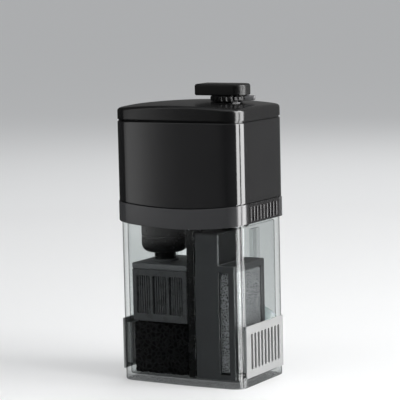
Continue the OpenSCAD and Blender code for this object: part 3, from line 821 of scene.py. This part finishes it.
def build_grommet():
    y0, y1 = GROMMET_LO.y, GROMMET_HI.y
    flange = y1 - 1.4
    profile = [(2.3, y0), (2.98, y0), (2.98, flange), (4.4, flange), (4.4, y1 - 0.5), (3.6, y1), (2.3, y1)]
    bm = lathe(soft_profile(profile, 0.3), 64, closed=True)
    centre = (GROMMET_LO.x + GROMMET_HI.x) / 2, (GROMMET_LO.z + GROMMET_HI.z) / 2
    bm = placed(placed(bm, turn=ALONG_Y), centre[0], 0, centre[1])
    add_piece("gland", bm, SEAL, "pump_head", ["cord_grommet"])


def build_cup(node, body):
    """Suction cup: nipple, neck ring, and a thin bell with a fine lip."""
    lo, hi = box_mm(node)
    plane = BODY_D / 2 + 2
    rim = (hi.x - lo.x) / 18
    depth = (hi.y - plane) / rim
    outer_c, outer_r = 9.06, 9.68
    inner_c, inner_r = 14.5, 12.3
    foot = (lo.y - plane) / rim
    profile = [(0, foot), (2.15 / rim, foot), (2.15 / rim, 0.02)]
    profile += [(math.sqrt(outer_r ** 2 - (z - outer_c) ** 2), z)
                for z in (0.02, 0.3, 0.6, 1.0, 1.5, 2.0, 2.6, 3.2, 3.8, 4.4, 4.9)]
    lip = depth - 0.12
    profile += [(8.86, 5.15), (8.98, lip), (8.9, depth), (8.62, depth), (8.42, lip)]
    profile += [(math.sqrt(inner_r ** 2 - (z - inner_c) ** 2), z)
                for z in (5.0, 4.5, 4.0, 3.5, 3.0, 2.6, 2.35)]
    profile.append((0, 2.2))
    bm = lathe(profile, 80)
    ring = lathe(soft_profile([(3.3, 0.25), (4.5, 0.25), (4.6, 1.0), (3.3, 1.0)], 0.3), 64, closed=True)
    bm = fuse(bm, ring)
    bmesh.ops.scale(bm, vec=(rim, rim, rim), verts=bm.verts)
    placed(bm, turn=ALONG_Y)
    centre = (lo.x + hi.x) / 2, (lo.z + hi.z) / 2
    add_piece(node + "_bell", placed(bm, centre[0], plane, centre[1]), CUP, body, [node],
              sharp=60)


# ---------- outlet ----------

def build_spout():
    lo, hi = SPOUT_LO, SPOUT_HI
    z0, z1 = hi.z - 3.5, hi.z
    seal_lo, seal_hi = box_mm("spout_seal")
    mid_x, mid_y = (lo.x + hi.x) / 2, (lo.y + hi.y) / 2
    w, d = hi.x - lo.x, hi.y - lo.y

    def plan(inset):
        points = []
        tail, tip = 3.0 - inset, 0.8 - min(inset, 0.5)
        for sx, sy, start, r in ((1, 1, 0, tail), (-1, 1, 90, tip), (-1, -1, 180, tip), (1, -1, 270, tail)):
            cx, cy = sx * (w / 2 - inset - r), sy * (d / 2 - inset - r)
            for i in range(9):
                a = math.radians(start + 90 * i / 8)
                points.append((mid_x + cx + r * math.cos(a), mid_y + cy + r * math.sin(a)))
        return points

    levels = [(z0, 0.45), (z0 + 0.12, 0.15), (z0 + 0.4, 0.0),
              (z1 - 0.7, 0.0), (z1 - 0.35, 0.1), (z1 - 0.1, 0.35), (z1, 0.75)]
    rings = [[(x, y, z) for x, y in plan(inset)] for z, inset in levels]
    bar = clean(skin(bmesh.new(), rings, cap_first=True, cap_last=True))
    stem = placed(cylinder(3.03, lo.z, z0 + 0.3, 0.15), *OUTLET)
    bar = fuse(bar, stem)
    channel = rounded_box((lo.x - 2, lo.y + 1, z0 + 0.7), (OUTLET[0], hi.y - 1, z1 - 0.7), 0.5)
    bore = placed(cylinder(2.3, lo.z - 1, z1 - 0.7), *OUTLET)
    groove = [(2.65, seal_lo.z), (3.6, seal_lo.z), (3.6, seal_hi.z), (2.65, seal_hi.z)]
    groove = placed(lathe(groove, 64, closed=True), *OUTLET)
    bar = cut(bar, channel, bore, groove)
    add_piece("outlet_spout", bar, SPOUT, "outlet", ["spout"], bevel=0.1)


def build_dial():
    z0, z1 = DIAL_LO.z, DIAL_HI.z
    radius, bore, lobes, seg = 5.4, 4.35, 20, 240
    levels = [(z0, 0.25, 0.0), (z0 + 0.1, 0.08, 0.4), (z0 + 0.3, 0.0, 1.0), (z1 - 0.3, 0.0, 1.0),
              (z1 - 0.1, 0.08, 0.4), (z1, 0.25, 0.0)]
    rings = []
    for z, inset, depth in levels:
        ring = []
        for i in range(seg):
            a = 2 * math.pi * i / seg
            groove = (0.5 - 0.5 * math.cos(lobes * a)) ** 3 * 0.42 * depth
            r = radius - inset - groove
            ring.append((r * math.cos(a), r * math.sin(a), z))
        rings.append(ring)
    for z in (z1, z0):
        rings.append([(bore * math.cos(2 * math.pi * i / seg), bore * math.sin(2 * math.pi * i / seg), z)
                      for i in range(seg)])
    bm = clean(skin(bmesh.new(), rings, close_loop=True))
    lever = rounded_box((4.55, -1.3, z0), (8.4, 1.3, z1), 0.4)
    placed(lever, turn=Matrix.Rotation(math.radians(20), 4, "Z"))
    bm = placed(fuse(bm, lever), *OUTLET)
    add_piece("dial_ring", bm, DIAL, "dial", ["flow_dial"], sharp=40)


# ---------- inner parts ----------

def wire_loop(x0, x1, z0, z1, y, radius, corner, seg=8):
    """One turn of round wire round a rectangular bobbin, in a plane of constant y."""
    cx, cz = (x0 + x1) / 2, (z0 + z1) / 2
    w, h = x1 - x0, z1 - z0
    path = []
    for sx, sz, start in ((1, 1, 0), (-1, 1, 90), (-1, -1, 180), (1, -1, 270)):
        for i in range(5):
            a = math.radians(start + 22.5 * i)
            path.append(((sx * (w / 2 - corner), sz * (h / 2 - corner)), a))
    rings = []
    for (px, pz), a in path:
        ring = []
        for k in range(seg):
            b = 2 * math.pi * k / seg
            out = corner + radius * math.cos(b)
            ring.append((cx + px + out * math.cos(a), y + radius * math.sin(b), cz + pz + out * math.sin(a)))
        rings.append(ring)
    return clean(skin(bmesh.new(), rings, close_loop=True))


def build_winding():
    lo, hi = box_mm("coil_winding")
    radius = 0.36
    turns = int((hi.y - lo.y) / (2 * radius))
    pitch = (hi.y - lo.y) / turns
    span = lo.x + radius, hi.x - radius, lo.z + radius, hi.z - radius
    loops = [wire_loop(*span, lo.y + (i + 0.5) * pitch, radius, 1.6) for i in range(turns)]
    add_piece("winding_turns", joined(*loops), COPPER, "pump_head", ["coil_winding"], sharp=180)


CAD_LOOKS = {
    # CAD node: its material, and the width of its edge bevel in millimetres
    "seal_ring": (SEAL, 0.1),
    "chamber_body": (BLACK, 0.2),
    "chamber_seal": (SEAL, 0.1),
    "motor_case": (HEAD, 0.25),
    "motor_cap": (GREY, 0.2),
    "stator_core": (STEEL, 0.08),
    "coil_bobbin": (NYLON, 0.12),
    "lead_wires": (WIRE, 0.08),
    "upper_bush": (SEAL, 0.15),
    "lower_bush": (SEAL, 0.15),
    "impeller_shaft": (SHAFT, 0.15),
    "riser_tube": (BLACK, 0.12),
    "plate_screws": (SCREW, 0.08),
    "rotor_magnet": (MAGNET, 0.3),
    "impeller": (NYLON, 0.1),
    "flow_gate": (BLACK, 0.12),
    "spout_seal": (SEAL, 0.1),
}


def dress_cad_nodes():
    """CAD nodes whose shape is right keep it, with rounded edges and a real material."""
    for name, (material, edge_width) in CAD_LOOKS.items():
        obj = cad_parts[name]
        for index in range(max(1, len(obj.material_slots))):
            if obj.material_slots:
                obj.material_slots[index].material = material
            else:
                obj.data.materials.append(material)
        weld = obj.modifiers.new("weld", "WELD")
        weld.merge_threshold = 1e-6
        edge = obj.modifiers.new("edges", "BEVEL")
        edge.width = edge_width * MM
        edge.segments = 2
        edge.limit_method = "ANGLE"
        edge.angle_limit = math.radians(35)
        edge.harden_normals = True


# ---------- light, floor and camera ----------

def toward(azimuth, elevation):
    """Unit vector from the object towards a direction in degrees, azimuth 0 being the front."""
    a, e = math.radians(azimuth), math.radians(elevation)
    return Vector((math.sin(a) * math.cos(e), -math.cos(a) * math.cos(e), math.sin(e)))


def build_stage():
    mesh = bpy.data.meshes.new("floor")
    bm = bmesh.new()
    bmesh.ops.create_circle(bm, cap_ends=True, segments=96, radius=12)
    bm.to_mesh(mesh)
    bm.free()
    floor = bpy.data.objects.new("floor", mesh)
    bpy.context.scene.collection.objects.link(floor)
    t = Tree("floor_paint")
    t.set(Base_Color=(0.66, 0.66, 0.66, 1), Roughness=0.7,
          Emission_Color=(1, 1, 1, 1), Emission_Strength=0.18)
    t.bump(t.noise(40), 0.02, 0.001)
    mesh.materials.append(t.material)
    floor.visible_glossy = False

    world = bpy.data.worlds.new("studio")
    bpy.context.scene.world = world
    world.use_nodes = True
    world.node_tree.nodes["Background"].inputs["Color"].default_value = (0.94, 0.97, 1.0, 1)
    world.node_tree.nodes["Background"].inputs["Strength"].default_value = 0.35
    bpy.context.scene.view_settings.view_transform = "Standard"


REFLECTORS = (
    # azimuth in degrees, and how bright the ring of cards is there; the gap at 90 keeps the flat right
    # side dark when it is seen square on
    (-180, 0.25), (-150, 0.1), (-128, 0.04), (-48, 0.05), (-43, 0.3), (-40, 1.7), (-37, 1.5), (-35, 0.9),
    (-32, 0.4), (-28, 0.2), (-21, 0.15), (-16, 0.0), (62.5, 0.0), (65, 14.0), (84.5, 14.0), (86, 0.2),
    (94, 0.2), (95.5, 14.0), (124, 12.0), (130, 1.0), (134, 0.3), (180, 0.25))


def build_reflectors():
    """A ring of dark and bright cards round the object. Only reflections see it."""
    radius, bottom, top = 0.45, -0.6, 0.8
    mesh = bpy.data.meshes.new("cards")
    bm = bmesh.new()
    count = 180
    angles = [2 * math.pi * i / count for i in range(count)]
    low = [bm.verts.new((radius * math.cos(a), radius * math.sin(a), bottom)) for a in angles]
    high = [bm.verts.new((v.co.x, v.co.y, top)) for v in low]
    for i in range(count):
        j = (i + 1) % count
        bm.faces.new((low[i], low[j], high[j], high[i]))
    bm.to_mesh(mesh)
    bm.free()
    cards = bpy.data.objects.new("cards", mesh)
    bpy.context.scene.collection.objects.link(cards)
    for kind in ("camera", "diffuse", "transmission", "shadow", "volume_scatter"):
        setattr(cards, "visible_" + kind, False)
    t = Tree("card_light")
    x, y, z = t.axes()
    around = t.ranged(t.math("ARCTAN2", x, t.math("MULTIPLY", y, -1.0)), 0.0, 1.0, -math.pi, math.pi)
    ramp = t.nodes.new("ShaderNodeFloatCurve")
    curve = ramp.mapping.curves[0]
    brightest = max(level for _, level in REFLECTORS)
    curve.points[0].location = (0, REFLECTORS[0][1] / brightest)
    curve.points[1].location = (1, REFLECTORS[-1][1] / brightest)
    for azimuth, level in REFLECTORS[1:-1]:
        curve.points.new((azimuth + 180) / 360, level / brightest)
    for point in curve.points:
        point.handle_type = "VECTOR"
    ramp.mapping.update()
    t.link(around, ramp.inputs["Value"])
    glow = t.node("ShaderNodeEmission")
    # on the left the cards end near the floor, so the clear wall does not mirror them
    shown = t.math("MAXIMUM", t.ranged(z, 0.04, 1.0, -0.02, -0.012), t.math("GREATER_THAN", around, 0.5))
    strength = t.math("MULTIPLY", t.ranged(ramp.outputs["Value"], 0.0, brightest), shown)
    t.link(strength, glow.inputs["Strength"])
    t.link(glow.outputs["Emission"], t.output.inputs["Surface"])
    mesh.materials.append(t.material)


def area_light(name, azimuth, elevation, distance, size, power, target):
    data = bpy.data.lights.new(name, "AREA")
    data.shape = "RECTANGLE"
    data.size, data.size_y = size
    data.energy = power
    light = bpy.data.objects.new(name, data)
    bpy.context.scene.collection.objects.link(light)
    back = toward(azimuth, elevation)
    light.location = Vector(target) + back * distance
    light.rotation_euler = back.to_track_quat("Z", "Y").to_euler()


def build_lights():
    target = (0, 0, 0.045)
    area_light("key", -30, 45, 0.8, (0.5, 0.5), 1.0, target)
    area_light("right_softbox", 95, 25, 0.5, (0.3, 0.5), 2.6, target)
    area_light("left_softbox", -85, 15, 0.6, (0.2, 0.6), 0.4, target)
    area_light("top", 20, 80, 0.8, (0.6, 0.6), 1.0, target)
    area_light("rim", 190, 35, 0.8, (0.6, 0.4), 1.5, target)


def build_camera():
    roll = math.radians(-1.3)
    distance = 0.62
    frame_height = 0.124
    centre = Vector((0, 0, 0.0555))
    back = toward(29.6, 6.8)
    data = bpy.data.cameras.new("camera")
    data.sensor_width = 36
    data.lens = 36 * distance / frame_height
    camera = bpy.data.objects.new("camera", data)
    bpy.context.scene.collection.objects.link(camera)
    camera.location = centre + back * distance
    turn = back.to_track_quat("Z", "Y").to_matrix() @ Matrix.Rotation(roll, 3, "Z")
    camera.rotation_euler = turn.to_euler()
    bpy.context.scene.camera = camera


build_camera()
build_stage()
build_reflectors()
build_lights()
build_canister()
build_grille(-1, "intake_grille_left")
build_grille(1, "intake_grille_right")
build_divider()
build_foam("coarse_foam_block", "coarse_foam", COARSE, "canister_body", FOAM_LO, FOAM_HI,
           1.5, 0.6, 0.36)
build_cartridge()
build_cassette()
build_foam("fine_foam_block", "fine_foam", FINE, "cassette", FINE_LO, FINE_HI,
           1.1, 0.25, 0.42)
build_head()
build_lid()
build_collar()
build_chamber_cover()
build_grommet()
build_cup("lower_cup_left", "canister_body")
build_cup("lower_cup_right", "canister_body")
build_cup("upper_cup_left", "pump_head")
build_cup("upper_cup_right", "pump_head")
build_spout()
build_dial()
build_winding()
dress_cad_nodes()
